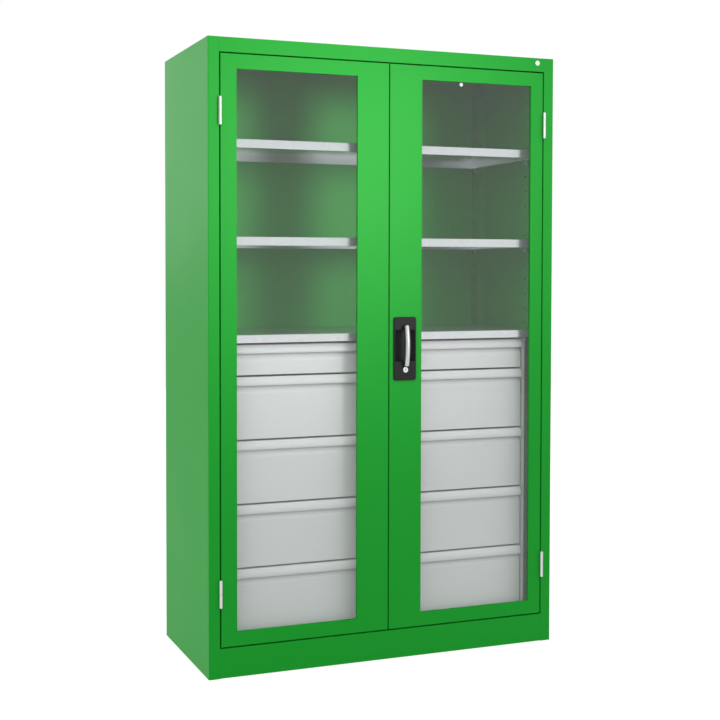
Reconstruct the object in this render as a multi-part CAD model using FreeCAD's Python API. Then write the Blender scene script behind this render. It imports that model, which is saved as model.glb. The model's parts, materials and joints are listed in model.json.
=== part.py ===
import FreeCAD, Part
import math
import os

os.makedirs("parts", exist_ok=True)

# A free-standing steel cabinet with two glazed doors, two shelves and five drawers.
# Millimetres. X to the right, Y to the back, Z up. The doors face -Y.
# The origin is on the floor, at the middle of the footprint with the lever counted in.

# Overall
cabinet_height = 1950.0
cabinet_width = 1200.0
cabinet_depth = 500.0
lever_reach = 32.0

# Sheets and cuts
carcass_sheet = 1.5
door_sheet = 1.5
shelf_sheet = 1.5
drawer_sheet = 1.5
cut_overrun = 2.0
bend_radius = 1.8

# Carcass
stile_width = 35.5
stile_return = 25.0
top_rail_height = 45.0
plinth_height = 92.0
plinth_lift = 1.2
plinth_foot = 20.0
rear_flange = 20.0
floor_flange = 30.0
floor_skirt = 30.0
stop_height = 14.0
wall_hole_radius = 7.0
wall_hole_side_inset = 76.0
wall_hole_drop = 19.0
badge_radius = 8.0
badge_thickness = 1.2
badge_side_inset = 61.0
badge_drop = 17.0

# Doors
door_gap = 4.5
door_middle_gap = 4.0
door_depth = 22.0
door_lip = 18.0
door_edge_radius = 0.9
left_outer_border = 51.0
left_inner_border = 108.0
right_outer_border = 45.3
right_inner_border = 113.0
window_border_height = 44.6
window_flange = 3.0
pane_thickness = 4.0
pane_overlap = 12.0
retainer_width = 11.0
retainer_thickness = 2.0
bumper_radius = 5.0
bumper_play = 0.3
bumper_share = 0.72

# Hinges
hinge_length = 85.0
hinge_radius = 5.3
hinge_air = 0.3
hinge_split = 0.5
hinge_leaf_thickness = 1.9
hinge_leaf_depth = 15.0
hinge_pin_radius = 3.0
hinge_pin_end = 4.0
hinge_gap_share = 0.33
running_clearance = 0.05
lower_hinge_inset = 123.0
upper_hinge_inset = 130.0

# Shelves and what carries them
shelf_setback = 38.0
shelf_rear_air = 1.0
shelf_edge = 27.0
cover_edge = 25.0
shelf_lip = 15.0
cover_to_middle = 303.0
middle_to_upper = 299.0
rail_projection = 28.5
rail_width = 48.0
rail_front_setback = 100.0
rail_top_drop = 60.0
rail_slot_width = 14.0
rail_slot_height = 5.0
rail_slot_pitch = 50.0
clip_thickness = 2.0
clip_air = 0.3
clip_reach = 15.0
clip_height = 16.0
clip_width = 20.0

# Drawers
drawer_floor_air = 24.0
shallow_pitch = 100.0
deep_pitch = 200.0
deep_count = 4
drawer_gap = 6.0
cover_gap = 7.0
drawer_face_depth = 60.0
drawer_side_inset = 83.5
front_thickness = 18.0
lip_reach = 9.8
lip_height = 27.0
lip_tuck = 0.6
lip_nose_share = 0.67
shoulder_depth = 14.5
shoulder_height = 28.0
box_length = 392.0
box_lift = 8.0
box_drop = 30.0
housing_side_inset = 76.0
housing_flange = 8.0
housing_foot = 26.0
housing_rear_air = 22.0
runner_width = 14.0
runner_height = 36.0
runner_lift = 14.0
runner_setback = 12.0
runner_mouth = 3.0
runner_play = 0.3

# Handle, lock and locking rods on the right door
handle_height = 997.0
handle_inset = 52.5
plate_width = 77.6
plate_height = 203.0
plate_thickness = 6.0
plate_corner = 8.0
recess_rim = 4.0
recess_height = 100.0
recess_rise = 10.0
recess_depth = 13.0
cup_wall = 1.5
lever_air = 0.6
lever_diameter = 16.0
lever_span = 131.0
lever_rise = 8.6
lever_tip_radius = 5.0
post_radius = 6.0
post_inset = 7.0
spindle_radius = 4.0
arm_length = 19.0
arm_width = 8.0
arm_thickness = 4.0
lock_drop = 67.5
barrel_radius = 8.75
barrel_reach = 10.0
barrel_depth = 20.0
core_radius = 6.5
core_sink = 0.5
core_end = 2.0
key_width = 1.8
key_height = 8.0
key_depth = 8.0
case_height = 38.0
case_side = 28.0
case_rod_wall = 3.5
case_sheet = 1.5
case_air = 1.0
rod_width = 10.0
rod_thickness = 4.0
rod_offset = 35.5
rod_air = 0.5
rod_tip_air = 2.5
rod_spread = 6.0
guide_wall = 4.0
guide_height = 24.0
guide_back = 3.0
guide_height_shares = (0.1, 0.3, 0.7, 0.9)

# Planes and places that several pieces share
touch = 0.001
half_width = cabinet_width / 2
front_y = (lever_reach - cabinet_depth) / 2
back_y = front_y + cabinet_depth
inner_x = half_width - carcass_sheet
stile_x = half_width - stile_width
rail_z = cabinet_height - top_rail_height
back_panel_y = back_y - 2 * carcass_sheet
door_outer_x = stile_x - door_gap
door_inner_x = door_middle_gap / 2
door_bottom = plinth_height + door_gap
door_top = rail_z - door_gap
window_bottom = door_bottom + window_border_height
window_top = door_top - window_border_height
hinge_x = stile_x - door_gap * hinge_gap_share
hinge_y = front_y - hinge_radius - hinge_air
drawers_bottom = plinth_height + drawer_floor_air
drawers_top = drawers_bottom + shallow_pitch + deep_count * deep_pitch
cover_bottom = drawers_top + cover_gap
cover_top = cover_bottom + cover_edge
middle_top = cover_top + cover_to_middle
upper_top = middle_top + middle_to_upper
rail_face_x = inner_x - rail_projection
housing_x = half_width - housing_side_inset
drawer_face_y = front_y + drawer_face_depth
drawer_back_y = drawer_face_y + front_thickness
box_half = housing_x - runner_width
handle_x = door_inner_x + handle_inset
recess_z = handle_height + recess_rise
post_offset = lever_span / 2 - post_inset
pivot_z = recess_z + post_offset
lock_z = handle_height - lock_drop
plate_face_y = front_y - plate_thickness
lever_back_y = plate_face_y - lever_air
rod_x = handle_x + rod_offset
rod_y = (front_y + stile_return + rod_air, front_y + stile_return + rod_air + rod_thickness)
stop_y = (front_y + stile_return - carcass_sheet, front_y + stile_return)
upper_stop_z = (rail_z - stop_height, rail_z)
lower_stop_z = (plinth_height, plinth_height + stop_height)
cup_top = recess_z + recess_height / 2 + cup_wall
case_bottom = cup_top + case_air


def around(middle, size):
    return (middle - size / 2, middle + size / 2)


def behind(setback, size):
    """A stretch of Y that starts a setback behind the front plane."""
    return (front_y + setback, front_y + setback + size)


def block(x, y, z):
    size = (x[1] - x[0], y[1] - y[0], z[1] - z[0])
    return Part.makeBox(*size, FreeCAD.Vector(x[0], y[0], z[0]))


def upright(radius, x, y, z):
    """A cylinder along Z over the stretch z."""
    return Part.makeCylinder(radius, z[1] - z[0], FreeCAD.Vector(x, y, z[0]))


def lying(radius, x, y, z):
    """A cylinder along Y over the stretch y."""
    start = FreeCAD.Vector(x, y[0], z)
    return Part.makeCylinder(radius, y[1] - y[0], start, FreeCAD.Vector(0, 1, 0))


def joined(first, *others):
    return first.fuse(list(others)).removeSplitter()


def without(solid, *cuts):
    return solid.cut(list(cuts))


def mirrored(solid):
    return solid.mirror(FreeCAD.Vector(0, 0, 0), FreeCAD.Vector(1, 0, 0))


def grown(stretch, amount):
    return (stretch[0] - amount, stretch[1] + amount)


def rounded(solid, radius, wanted):
    return solid.makeFillet(radius, [edge for edge in solid.Edges if wanted(edge)])


def at_front(edge):
    box = edge.BoundBox
    return abs(box.YMin - front_y) < touch and abs(box.YMax - front_y) < touch


def along_y(edge):
    box = edge.BoundBox
    return box.XLength < touch and box.ZLength < touch


def extruded(edges, x):
    """The solid inside edges drawn at X = x[0], pulled along X to x[1]."""
    face = Part.Face(Part.Wire(edges))
    return face.extrude(FreeCAD.Vector(x[1] - x[0], 0, 0))


def save(name, *solids):
    shape = solids[0] if len(solids) == 1 else Part.makeCompound(list(solids))
    shape.exportStep("parts/" + name + ".step")


def save_pair(name, right):
    """One node that holds a piece and its mirror image."""
    save(name, right, mirrored(right))


# Carcass

def right_side():
    top_below_roof = cabinet_height - carcass_sheet
    stile = block((stile_x, half_width), behind(0, carcass_sheet), (0, cabinet_height))
    wall = block((inner_x, half_width), (front_y, back_y), (0, cabinet_height))
    turn = block((stile_x, stile_x + carcass_sheet), behind(0, stile_return), (0, top_below_roof))
    rear = block(
        (half_width - rear_flange, half_width), (back_y - carcass_sheet, back_y), (0, cabinet_height)
    )
    foot = block((half_width - floor_flange, half_width), (front_y, back_y), (0, carcass_sheet))
    panel = joined(stile, wall, turn, rear, foot)

    def outer_corner(edge):
        return at_front(edge) and abs(edge.BoundBox.XMin - half_width) < touch

    return rounded(panel, bend_radius, outer_corner)


def back():
    panel = block(
        (-inner_x, inner_x),
        (back_panel_y, back_y - carcass_sheet),
        (carcass_sheet, cabinet_height - carcass_sheet),
    )
    hole = lying(
        wall_hole_radius,
        half_width - wall_hole_side_inset,
        grown((back_panel_y, back_y), cut_overrun),
        cabinet_height - wall_hole_drop,
    )
    return without(panel, hole, mirrored(hole))


def roof():
    across = (-stile_x, stile_x)
    under = (cabinet_height - carcass_sheet, cabinet_height)
    plate = block((-inner_x, inner_x), (front_y + carcass_sheet, back_y - carcass_sheet), under)
    rail = block(across, behind(0, carcass_sheet), (rail_z, cabinet_height))
    turn = block(across, behind(0, stile_return), (rail_z, rail_z + carcass_sheet))
    stop = block(across, stop_y, upper_stop_z)
    return rounded(joined(plate, rail, turn, stop), bend_radius, at_rail_rim)


def at_rail_rim(edge):
    return at_front(edge) and abs(edge.BoundBox.ZMin - cabinet_height) < touch


def plinth():
    across = (-stile_x, stile_x)
    lid = (plinth_height - carcass_sheet, plinth_height)
    face = block(across, behind(0, carcass_sheet), (plinth_lift, plinth_height))
    turn = block(across, behind(0, stile_return), lid)
    stop = block(across, stop_y, lower_stop_z)
    foot_z = (carcass_sheet, 2 * carcass_sheet)
    foot = block(across, behind(0, plinth_foot), foot_z)
    return joined(face, turn, stop, foot)


def bottom():
    y = (front_y + stile_return, back_panel_y)
    plate = block((-inner_x, inner_x), y, (plinth_height - carcass_sheet, plinth_height))
    skirt_z = (plinth_height - floor_skirt, plinth_height)
    skirt = block((inner_x - carcass_sheet, inner_x), y, skirt_z)
    rear = block((-inner_x, inner_x), (back_panel_y - carcass_sheet, back_panel_y), skirt_z)
    return joined(plate, skirt, mirrored(skirt), rear)


def badge():
    x = half_width - badge_side_inset
    y = (front_y - badge_thickness, front_y)
    return lying(badge_radius, x, y, cabinet_height - badge_drop)


def save_carcass():
    save("right_side_panel", right_side())
    save("left_side_panel", mirrored(right_side()))
    save("back_panel", back())
    save("top_panel", roof())
    save("plinth", plinth())
    save("bottom_panel", bottom())
    save("blank_badge", badge())


# Shelf rails, shelves and clips

rail_bottom = plinth_height
rail_top = cabinet_height - rail_top_drop
rail_starts = {
    "front": front_y + rail_front_setback,
    "rear": back_panel_y - rail_width,
}


def shelf_rail(start_y):
    y = (start_y, start_y + rail_width)
    z = (rail_bottom, rail_top)
    rail = block((rail_face_x, inner_x), y, z)
    hollow = block((rail_face_x + shelf_sheet, inner_x + cut_overrun), grown(y, -shelf_sheet), z)
    slots = []
    count = int((rail_top - rail_bottom) / rail_slot_pitch)
    for index in range(count):
        slot_z = rail_bottom + rail_slot_pitch / 2 + index * rail_slot_pitch
        slots.append(block(
            grown((rail_face_x, rail_face_x + shelf_sheet), cut_overrun),
            around(start_y + rail_width / 2, rail_slot_width),
            around(slot_z, rail_slot_height),
        ))
    return without(rail, hollow, *slots)


def shelf(top, edge):
    half = rail_face_x - clip_thickness - clip_air
    y = (front_y + shelf_setback, back_panel_y - shelf_rear_air)
    tray = block((-half, half), y, (top - edge, top))
    hollow_z = (top - edge - cut_overrun, top - shelf_sheet)
    hollow = block(grown((-half, half), -shelf_sheet), grown(y, -shelf_sheet), hollow_z)
    lip = block((-half, half), (y[0], y[0] + shelf_lip), (top - edge, top - edge + shelf_sheet))
    tray = rounded(tray, bend_radius, lambda line: at_shelf_rim(line, y[0], top))
    return joined(without(tray, hollow), lip)


def at_shelf_rim(line, y, z):
    box = line.BoundBox
    return box.YLength < touch and abs(box.YMin - y) < touch and abs(box.ZMin - z) < touch


def clip(start_y, seat_z):
    y = around(start_y + rail_width / 2, clip_width)
    back_plate = block((rail_face_x - clip_thickness, rail_face_x), y, (seat_z - clip_height, seat_z))
    tongue = block((rail_face_x - clip_reach, rail_face_x), y, (seat_z - clip_thickness, seat_z))
    return joined(back_plate, tongue)


def save_shelves():
    clips = []
    for place, start_y in rail_starts.items():
        rail = shelf_rail(start_y)
        save("right_" + place + "_shelf_rail", rail)
        save("left_" + place + "_shelf_rail", mirrored(rail))
        for seat_z in (cover_bottom, middle_top - shelf_edge, upper_top - shelf_edge):
            piece = clip(start_y, seat_z)
            clips += [piece, mirrored(piece)]
    save("shelf_clips", *clips)
    save("drawer_cover_shelf", shelf(cover_top, cover_edge))
    save("shelf_middle", shelf(middle_top, shelf_edge))
    save("shelf_upper", shelf(upper_top, shelf_edge))


# Drawers, their housing and runners

def housing_panel():
    y = (drawer_face_y, back_panel_y - housing_rear_air)
    z = (plinth_height, cover_bottom)
    out_x = (housing_x, housing_x + housing_flange)
    foot_x = (housing_x, housing_x + housing_foot)
    plate = block((housing_x, housing_x + drawer_sheet), y, z)
    front = block(out_x, (y[0], y[0] + drawer_sheet), z)
    foot = block(foot_x, y, (z[0], z[0] + drawer_sheet))
    head = block(foot_x, y, (z[1] - drawer_sheet, z[1]))
    return joined(plate, front, foot, head)


def drawer_front(top, low):
    """A hollow front with a bulging lip along its top and a shoulder that falls back under the lip."""
    half = half_width - drawer_side_inset
    nose_y = drawer_face_y - lip_reach
    root_y = drawer_face_y + shoulder_depth
    lip_z = top - lip_height
    shoulder_z = lip_z - shoulder_height
    bend = (shoulder_depth ** 2 + shoulder_height ** 2) / (2 * shoulder_depth)
    half_turn = math.asin(shoulder_height / bend) / 2
    middle_y = drawer_face_y + bend * (1 - math.cos(half_turn))
    middle_z = shoulder_z + bend * math.sin(half_turn)

    def point(y, z):
        return FreeCAD.Vector(-half, y, z)

    face_top = point(drawer_face_y, shoulder_z)
    root = point(root_y, lip_z)
    lip_end = point(nose_y + lip_tuck, lip_z)
    nose = point(nose_y, top - lip_nose_share * lip_height)
    rim = point(drawer_face_y, top)
    back_top = point(drawer_back_y, top)
    back_low = point(drawer_back_y, low)
    face_low = point(drawer_face_y, low)
    edges = [
        Part.Arc(face_top, point(middle_y, middle_z), root).toShape(),
        Part.makeLine(root, lip_end),
        Part.Arc(lip_end, nose, rim).toShape(),
        Part.makeLine(rim, back_top),
        Part.makeLine(back_top, back_low),
        Part.makeLine(back_low, face_low),
        Part.makeLine(face_low, face_top),
    ]
    solid = extruded(edges, (-half, half))
    inside_x = grown((-half, half), -drawer_sheet)
    inside_y = (drawer_face_y + drawer_sheet, drawer_back_y + cut_overrun)
    lower = block(inside_x, inside_y, (low + drawer_sheet, shoulder_z - drawer_sheet))
    upper = block(inside_x, inside_y, (lip_z + drawer_sheet, top - drawer_sheet))
    return without(solid, lower, upper)


def drawer_box(top, low):
    x = (-box_half, box_half)
    y = (drawer_back_y, drawer_back_y + box_length)
    z = (low + box_lift, top - box_drop)
    inside_z = (z[0] + drawer_sheet, z[1] + cut_overrun)
    return without(block(x, y, z), block(grown(x, -drawer_sheet), grown(y, -drawer_sheet), inside_z))


def runner_channel(x, web_x, z):
    """A rail of channel section along Y, with its web over the stretch web_x."""
    y = (drawer_back_y + runner_setback, drawer_back_y + box_length)
    web = block(web_x, y, z)
    low_flange = block(x, y, (z[0], z[0] + drawer_sheet))
    high_flange = block(x, y, (z[1] - drawer_sheet, z[1]))
    return joined(web, low_flange, high_flange)


def fixed_runner(low):
    z = (low + runner_lift, low + runner_lift + runner_height)
    x = (box_half + runner_mouth, housing_x)
    return runner_channel(x, (housing_x - drawer_sheet, housing_x), z)


def sliding_runner(low):
    z = grown((low + runner_lift, low + runner_lift + runner_height), -drawer_sheet - runner_play)
    x = (box_half, housing_x - drawer_sheet - runner_play)
    return runner_channel(x, (box_half, box_half + drawer_sheet), z)


def save_drawers():
    panel = housing_panel()
    save("right_housing_panel", panel)
    save("left_housing_panel", mirrored(panel))
    top = drawers_top
    for index, pitch in enumerate([shallow_pitch] + [deep_pitch] * deep_count):
        name = "drawer_" + str(index + 1)
        low = top - pitch + drawer_gap
        save(name + "_front", drawer_front(top, low))
        save(name + "_box", drawer_box(top, low))
        save_pair(name + "_fixed_runners", fixed_runner(low))
        save_pair(name + "_sliding_runners", sliding_runner(low))
        top = top - pitch


# Doors

def window_of(side):
    """The stretch of X that the window of a door covers."""
    if side == "left":
        return (-door_outer_x + left_outer_border, -door_inner_x - left_inner_border)
    return (door_inner_x + right_inner_border, door_outer_x - right_outer_border)


def door_pan(x, window_x):
    y = behind(0, door_depth)
    z = (door_bottom, door_top)
    window_z = (window_bottom, window_top)
    pan = rounded(block(x, y, z), door_edge_radius, at_front)
    cavity = block(grown(x, -door_sheet), grown(y, -door_sheet), grown(z, -door_sheet))
    mouth_y = (y[1] - door_sheet - cut_overrun, y[1] + cut_overrun)
    mouth = block(grown(x, -door_lip), mouth_y, grown(z, -door_lip))
    flange_y = (front_y + door_sheet, front_y + window_flange)
    flange = block(grown(window_x, door_sheet), flange_y, grown(window_z, door_sheet))
    opening = block(window_x, grown((front_y, front_y + window_flange), cut_overrun), window_z)
    return without(joined(without(pan, cavity, mouth), flange), opening)


def pane(window_x):
    y = behind(window_flange, pane_thickness)
    return block(grown(window_x, pane_overlap), y, grown((window_bottom, window_top), pane_overlap))


def retainers(window_x):
    """Four strips that hold the pane against the flange of the window."""
    y = behind(window_flange + pane_thickness, retainer_thickness)
    outside_z = grown((window_bottom, window_top), retainer_width)
    return [
        block((window_x[0] - retainer_width, window_x[0]), y, outside_z),
        block((window_x[1], window_x[1] + retainer_width), y, outside_z),
        block(window_x, y, (outside_z[0], window_bottom)),
        block(window_x, y, (window_top, outside_z[1])),
    ]


def save_doors():
    cuts = handle_cuts()
    for side, x in (("left", (-door_outer_x, -door_inner_x)), ("right", (door_inner_x, door_outer_x))):
        window_x = window_of(side)
        panel = door_pan(x, window_x)
        if side == "right":
            panel = without(panel, *cuts)
        save(side + "_door_panel", panel)
        save(side + "_door_pane", pane(window_x))
        save(side + "_door_pane_retainers", *retainers(window_x))
    bumper_y = (front_y + door_depth + bumper_play, stop_y[0])
    bumpers = []
    for z in (upper_stop_z, lower_stop_z):
        pad = lying(bumper_radius, door_outer_x * bumper_share, bumper_y, sum(z) / 2)
        bumpers += [pad, mirrored(pad)]
    save("door_bumpers", *bumpers)


# Hinges: the lower knuckle and its pin stay on the frame, the upper knuckle turns with the door

def hinge_bottoms():
    return (door_bottom + lower_hinge_inset, door_top - upper_hinge_inset - hinge_length)


def knuckle(z, leaf_x, bore):
    barrel = upright(hinge_radius, hinge_x, hinge_y, z)
    leaf = block(leaf_x, (hinge_y, front_y + hinge_leaf_depth), z)
    hole = upright(bore, hinge_x, hinge_y, grown(z, cut_overrun))
    return without(joined(barrel, leaf), hole)


def save_hinges():
    frame_knuckles = []
    door_knuckles = []
    pins = []
    half = hinge_length / 2
    frame_leaf = (stile_x - hinge_leaf_thickness, stile_x)
    door_leaf = (door_outer_x, door_outer_x + hinge_leaf_thickness)
    for low in hinge_bottoms():
        lower_z = (low, low + half - hinge_split / 2)
        upper_z = (low + half + hinge_split / 2, low + hinge_length)
        frame_knuckles.append(knuckle(lower_z, frame_leaf, hinge_pin_radius))
        bore = hinge_pin_radius + running_clearance
        door_knuckles.append(knuckle(upper_z, door_leaf, bore))
        pins.append(upright(hinge_pin_radius, hinge_x, hinge_y, grown((low, upper_z[1]), -hinge_pin_end)))
    save("frame_hinge_knuckles", *frame_knuckles, *[mirrored(piece) for piece in frame_knuckles])
    save("hinge_pins", *pins, *[mirrored(piece) for piece in pins])
    save("right_door_hinge_knuckles", *door_knuckles)
    save("left_door_hinge_knuckles", *[mirrored(piece) for piece in door_knuckles])


# Handle, lock and locking rods

def trough(wall):
    """The hollow behind the lever, as wide as the plate allows, with a wall of sheet round it or none."""
    half_mouth = plate_width / 2 - recess_rim
    deep = plate_thickness + recess_depth
    radius = (half_mouth ** 2 + deep ** 2) / (2 * deep)
    z = grown(around(recess_z, recess_height), wall)
    return upright(radius + wall, handle_x, front_y + recess_depth - radius, z)


def handle_cuts():
    """What the handle and the lock take out of the right door."""
    sheet_y = grown((front_y, front_y + door_sheet), cut_overrun)
    return (
        block(
            around(handle_x, plate_width - 2 * recess_rim),
            sheet_y,
            grown(around(recess_z, recess_height), cup_wall + rod_air),
        ),
        lying(spindle_radius + rod_air, handle_x, sheet_y, pivot_z),
        lying(barrel_radius + running_clearance, handle_x, sheet_y, lock_z),
    )


def handle_plate():
    plate = block(
        around(handle_x, plate_width), (plate_face_y, front_y), around(handle_height, plate_height)
    )
    plate = rounded(plate, plate_corner, along_y)
    back_half = block(
        around(handle_x, plate_width), behind(0, recess_depth + cup_wall), around(handle_height, plate_height)
    )
    cup = trough(cup_wall).common(back_half)
    through = (plate_face_y - cut_overrun, front_y + cut_overrun)
    spindle_hole = lying(spindle_radius + running_clearance, handle_x, through, pivot_z)
    barrel_hole = lying(barrel_radius, handle_x, through, lock_z)
    return without(joined(plate, cup), trough(0), spindle_hole, barrel_hole)


def lever_bow():
    """A round bar bent to a shallow arc, with rounded ends, on two posts in front of the plate."""
    bar = lever_diameter / 2
    half = lever_span / 2
    bend = (half ** 2 + lever_rise ** 2) / (2 * lever_rise)
    sweep = math.asin(half / bend)
    centre = FreeCAD.Vector(handle_x, front_y - lever_reach + bar + bend, recess_z)
    start = centre - FreeCAD.Vector(0, bend * math.cos(sweep), half)
    along = FreeCAD.Vector(0, -math.sin(sweep), math.cos(sweep))
    disc = Part.Face(Part.Wire(Part.makeCircle(bar, start, along)))
    bow = disc.revolve(centre, FreeCAD.Vector(-1, 0, 0), math.degrees(2 * sweep))
    bow = rounded(bow, lever_tip_radius, lambda edge: edge.isClosed())
    post_y = (centre.y - math.sqrt(bend ** 2 - post_offset ** 2), lever_back_y)
    heights = (recess_z - post_offset, recess_z + post_offset)
    posts = [lying(post_radius, handle_x, post_y, z) for z in heights]
    return joined(bow, *posts)


def lever_spindle():
    shaft = lying(spindle_radius, handle_x, (lever_back_y, rod_y[1]), pivot_z)
    arm_y = (rod_y[1] - arm_thickness, rod_y[1])
    arm = block(around(handle_x, arm_width), arm_y, (pivot_z, pivot_z + arm_length))
    return joined(shaft, arm)


def lock_barrel():
    barrel = lying(barrel_radius, handle_x, (front_y - barrel_reach, front_y + barrel_depth), lock_z)
    bore_y = (front_y - barrel_reach - cut_overrun, front_y + barrel_depth + cut_overrun)
    return without(barrel, lying(core_radius + running_clearance, handle_x, bore_y, lock_z))


def lock_core():
    start = front_y - barrel_reach + core_sink
    core = lying(core_radius, handle_x, (start, front_y + barrel_depth - core_end), lock_z)
    keyway = block(
        around(handle_x, key_width), (start - cut_overrun, start + key_depth), around(lock_z, key_height)
    )
    return without(core, keyway)


def lock_case():
    x = (handle_x - case_side, rod_x + rod_width / 2 + case_rod_wall)
    y = (front_y + door_sheet, rod_y[1] + rod_air + case_sheet)
    z = (case_bottom, case_bottom + case_height)
    case = block(x, y, z)
    hollow = block(grown(x, -case_sheet), grown(y, -case_sheet), grown(z, -case_sheet))
    hole_y = grown((y[0], y[0] + case_sheet), cut_overrun / 2)
    spindle_hole = lying(spindle_radius + running_clearance, handle_x, hole_y, pivot_z)
    return without(case, hollow, spindle_hole, rod_hole(z))


def locking_rod(z):
    """A flat rod that runs behind the door and shoots behind a stop of the frame."""
    return block(around(rod_x, rod_width), rod_y, z)


def rod_hole(z):
    """The slot that a locking rod passes through, over the stretch z."""
    return block(around(rod_x, rod_width + 2 * rod_air), grown(rod_y, rod_air), grown(z, cut_overrun))


def rod_guide(z):
    wide = rod_width + 2 * guide_wall
    y = (front_y + door_sheet, rod_y[1] + rod_air + guide_back)
    guide = block(around(rod_x, wide), y, around(z, guide_height))
    return without(guide, rod_hole(around(z, guide_height)))


def save_handle():
    middle = case_bottom + case_height / 2
    door_height = door_top - door_bottom
    save("handle_plate", handle_plate())
    save("lever_bow", lever_bow())
    save("lever_spindle", lever_spindle())
    save("lock_barrel", lock_barrel())
    save("lock_core", lock_core())
    save("lock_case", lock_case())
    save("upper_rod", locking_rod((middle + rod_spread / 2, upper_stop_z[0] - rod_tip_air)))
    save("lower_rod", locking_rod((lower_stop_z[1] + rod_tip_air, middle - rod_spread / 2)))
    save("rod_guides", *[rod_guide(door_bottom + share * door_height) for share in guide_height_shares])


save_carcass()
save_shelves()
save_drawers()
save_doors()
save_hinges()
save_handle()
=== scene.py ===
import contextlib
import json
import math

import bmesh
import bpy
from bpy.props import FloatProperty, FloatVectorProperty, PointerProperty
from bpy.types import Operator, Panel, PropertyGroup
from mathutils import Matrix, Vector


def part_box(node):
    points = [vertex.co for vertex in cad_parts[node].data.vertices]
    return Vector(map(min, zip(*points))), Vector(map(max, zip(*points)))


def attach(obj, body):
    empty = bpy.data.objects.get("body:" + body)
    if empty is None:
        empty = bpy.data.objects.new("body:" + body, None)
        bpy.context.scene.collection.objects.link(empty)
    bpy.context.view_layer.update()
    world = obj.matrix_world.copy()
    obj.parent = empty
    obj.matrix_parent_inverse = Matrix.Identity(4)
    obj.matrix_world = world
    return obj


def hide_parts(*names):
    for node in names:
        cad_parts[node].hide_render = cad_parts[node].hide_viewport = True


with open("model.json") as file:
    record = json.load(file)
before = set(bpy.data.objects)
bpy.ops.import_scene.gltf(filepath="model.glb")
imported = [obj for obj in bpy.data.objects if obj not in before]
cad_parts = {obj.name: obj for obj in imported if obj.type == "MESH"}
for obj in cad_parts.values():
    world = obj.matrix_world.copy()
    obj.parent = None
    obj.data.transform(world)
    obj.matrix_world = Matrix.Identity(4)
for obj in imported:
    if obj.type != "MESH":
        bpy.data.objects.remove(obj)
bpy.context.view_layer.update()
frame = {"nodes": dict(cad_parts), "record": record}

bl_info = {
    "name": "Glazed Steel Cabinet",
    "version": (1, 0, 0),
    "blender": (4, 5, 0),
    "location": "View3D > Sidebar > Cabinet",
    "description": "Dresses the packed cabinet with folded sheets, finishes and a plain studio",
    "category": "Object",
}

SIDES = ("left", "right")
DRAWERS = (1, 2, 3, 4, 5)
X_AXIS = Vector((1, 0, 0))
Y_AXIS = Vector((0, 1, 0))
Z_AXIS = Vector((0, 0, 1))

# Points closer than this, in metres, count as one
TOUCH = 1e-5
# A face looks along an axis when its normal has more than this share of it
FACING = 0.9
# Faces that meet at less than this angle count as one flat face
FLAT_ANGLE = math.radians(0.5)
# Edges sharper than this angle are rounded, and shaded as edges
SHARP_ANGLE = math.radians(35)

# Steps and sides of the round forms
EDGE_STEPS = 2
SHOULDER_STEPS = 8
LIP_STEPS = 14
SHELF_BEND_STEPS = 4
PLATE_CORNER_STEPS = 8
TROUGH_STEPS = 24
LEVER_STEPS = 40
LEVER_SIDES = 40
LEVER_TIP_STEPS = 6
BORE_SIDES = 48
BADGE_SIDES = 48
LOCK_SIDES = 64
FLOOR_SIDES = 96

# Constants of the finishes
RELIEF_DEPTH = 0.0004
DRIFT_SCALE = 5.0
DRIFT_DETAIL = 4.0
PEEL_DETAIL = 1.0
PANE_INDEX = 1.49
FLOOR_ROUGHNESS = 0.9


def size(name, description, default):
    return FloatProperty(name=name, description=description, default=default, unit="LENGTH", precision=5)


def scalar(name, description, default):
    return FloatProperty(name=name, description=description, default=default)


def angle_in_degrees(name, description, degrees):
    return FloatProperty(name=name, description=description, default=math.radians(degrees), subtype="ANGLE")


def watts(name, description, default):
    return FloatProperty(name=name, description=description, default=default, unit="POWER")


def colour(name, description, default):
    return FloatVectorProperty(
        name=name, description=description, default=default, size=3, subtype="COLOR", min=0.0, max=1.0
    )


def place(name, description, default):
    return FloatVectorProperty(name=name, description=description, default=default, size=3, subtype="XYZ")


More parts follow.
